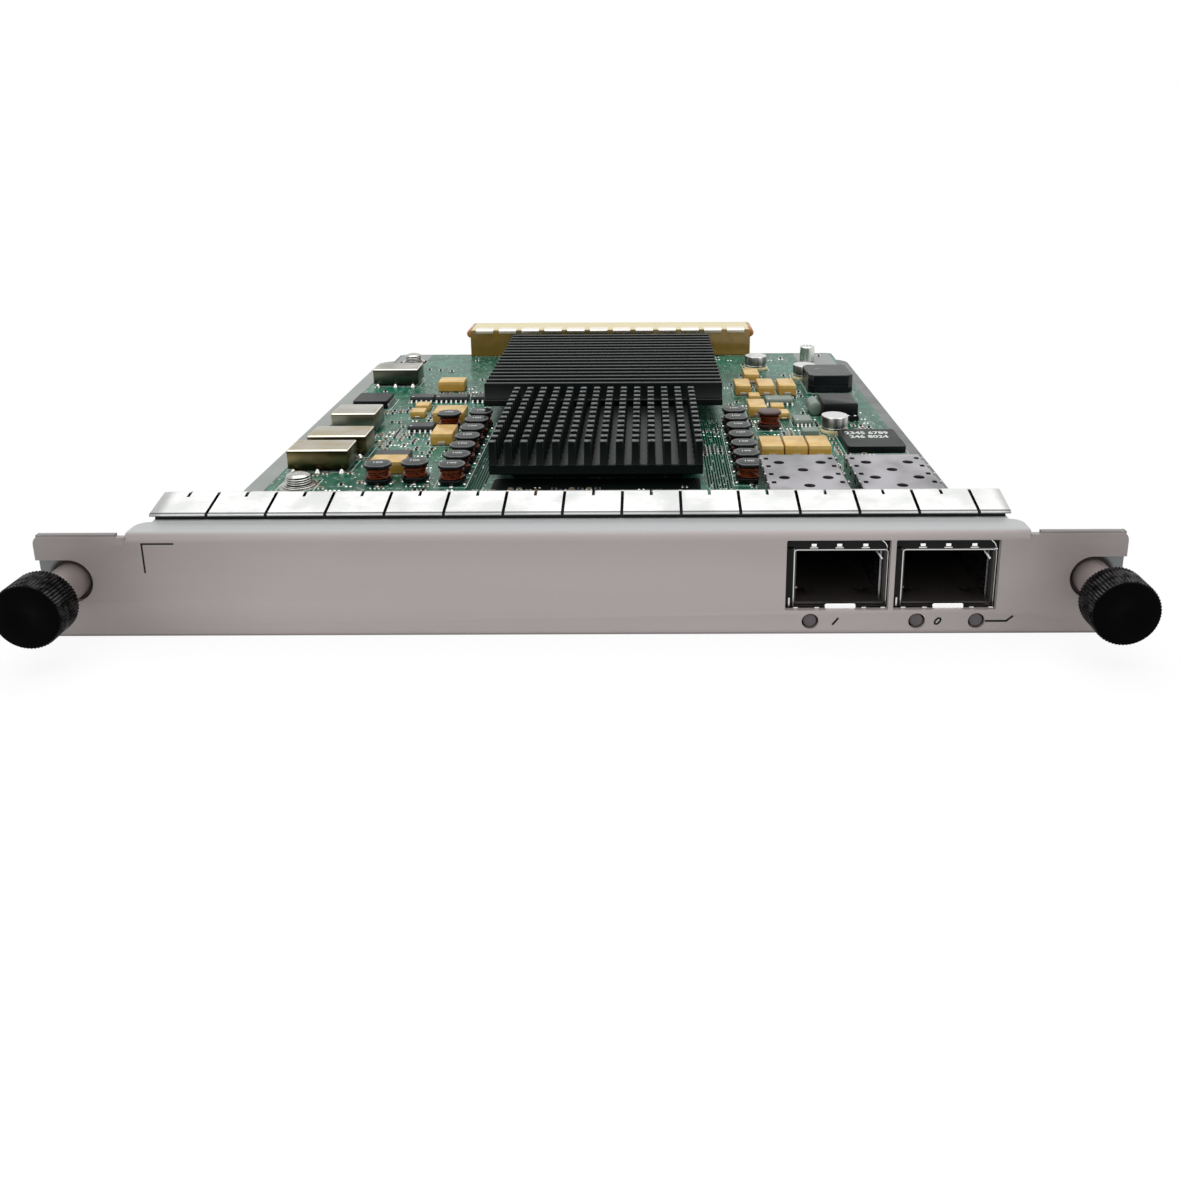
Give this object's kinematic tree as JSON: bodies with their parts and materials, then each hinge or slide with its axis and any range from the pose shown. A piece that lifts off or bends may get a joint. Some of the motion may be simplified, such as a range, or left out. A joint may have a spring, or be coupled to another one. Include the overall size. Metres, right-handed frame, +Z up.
{
  "type": "interface card",
  "caption": "Plug-in interface card: circuit board on a sheet-metal tray behind a narrow front panel, with open transceiver ports, heat sinks and spring-loaded thumbscrews.",
  "frame": {"origin": "middle of the footprint, on the underside of the tray", "axes": "+X to the right of the front panel seen from the front, +Y from the panel towards the backplane, +Z up"},
  "size_m": [0.1628, 0.2074, 0.0188],
  "materials": {
    "painted_panel": "fine-textured paint",
    "polished_strip": "bright plated spring strip",
    "plated_steel": "plain plated sheet",
    "board_green": "solder resist",
    "nickel": "nickel plated",
    "black_knob": "moulded black",
    "cage_metal": "tin-plated sheet",
    "black_plastic": "moulded black",
    "lens": "unlit grey lens",
    "black_anodised": "black anodised",
    "chip_black": "moulded epoxy",
    "pad_grey": "thermal pad",
    "ivory_plastic": "moulded",
    "pale_brass": "plated tabs",
    "can_metal": "dull plated cans",
    "ferrite": "matt ferrite",
    "tantalum_tan": "moulded tan resin",
    "can_aluminium": "drawn can"
  },
  "bodies": {
    "card": {"backplane_housing": "ivory_plastic", "backplane_shields": "pale_brass", "board_screws": "nickel", "board_washers": "nickel", "carrier_tray": "plated_steel", "circuit_board": "board_green", "corner_post": "nickel", "electrolytic_bases": "black_plastic", "electrolytic_cans": "can_aluminium", "emi_finger_strip": "polished_strip", "end_bracket_left": "plated_steel", "end_bracket_right": "plated_steel", "front_panel": "painted_panel", "heat_sink_front": "black_anodised", "heat_sink_rear": "black_anodised", "host_connector_left": "black_plastic", "host_connector_right": "black_plastic", "inductors_left": "ferrite", "inductors_right": "ferrite", "inductors_single": "ferrite", "line_chip_right": "chip_black", "memory_chip_left": "chip_black", "power_choke": "ferrite", "power_module_feet": "black_plastic", "power_module_front": "can_metal", "power_module_rear": "can_metal", "power_module_second": "can_metal", "power_module_third": "can_metal", "processor_chip_front": "chip_black", "processor_chip_rear": "chip_black", "small_chips": "chip_black", "status_light_lenses": "lens", "tantalums_left": "tantalum_tan", "tantalums_right": "tantalum_tan", "tantalums_small": "tantalum_tan", "thermal_pads": "pad_grey", "thumbscrew_ferrule_left": "nickel", "thumbscrew_ferrule_right": "nickel", "thumbscrew_spring_left": "nickel", "thumbscrew_spring_right": "nickel", "transceiver_cage_left": "cage_metal", "transceiver_cage_right": "cage_metal", "transformer": "ferrite"},
    "ring_left": {"retaining_ring_left": "nickel"},
    "screw_left": {"captive_screw_left": "nickel", "thumbscrew_knob_left": "black_knob"},
    "ring_right": {"retaining_ring_right": "nickel"},
    "screw_right": {"captive_screw_right": "nickel", "thumbscrew_knob_right": "black_knob"}
  },
  "joints": [
    {"name": "slide_left", "type": "slide", "parent": "card", "child": "ring_left", "axis": [0, 1, 0], "range_m": [0, 0.0036], "stiffness_N_per_m": 500, "springref_m": -0.003, "deforming": ["thumbscrew_spring_left"]},
    {"name": "spin_left", "type": "hinge", "parent": "ring_left", "child": "screw_left", "pos_m": [-0.0765, -0.09125, 0.009], "axis": [0, 1, 0], "continuous": true},
    {"name": "slide_right", "type": "slide", "parent": "card", "child": "ring_right", "axis": [0, 1, 0], "range_m": [0, 0.0036], "stiffness_N_per_m": 500, "springref_m": -0.003, "deforming": ["thumbscrew_spring_right"]},
    {"name": "spin_right", "type": "hinge", "parent": "ring_right", "child": "screw_right", "pos_m": [0.0765, -0.09125, 0.009], "axis": [0, 1, 0], "continuous": true}
  ]
}
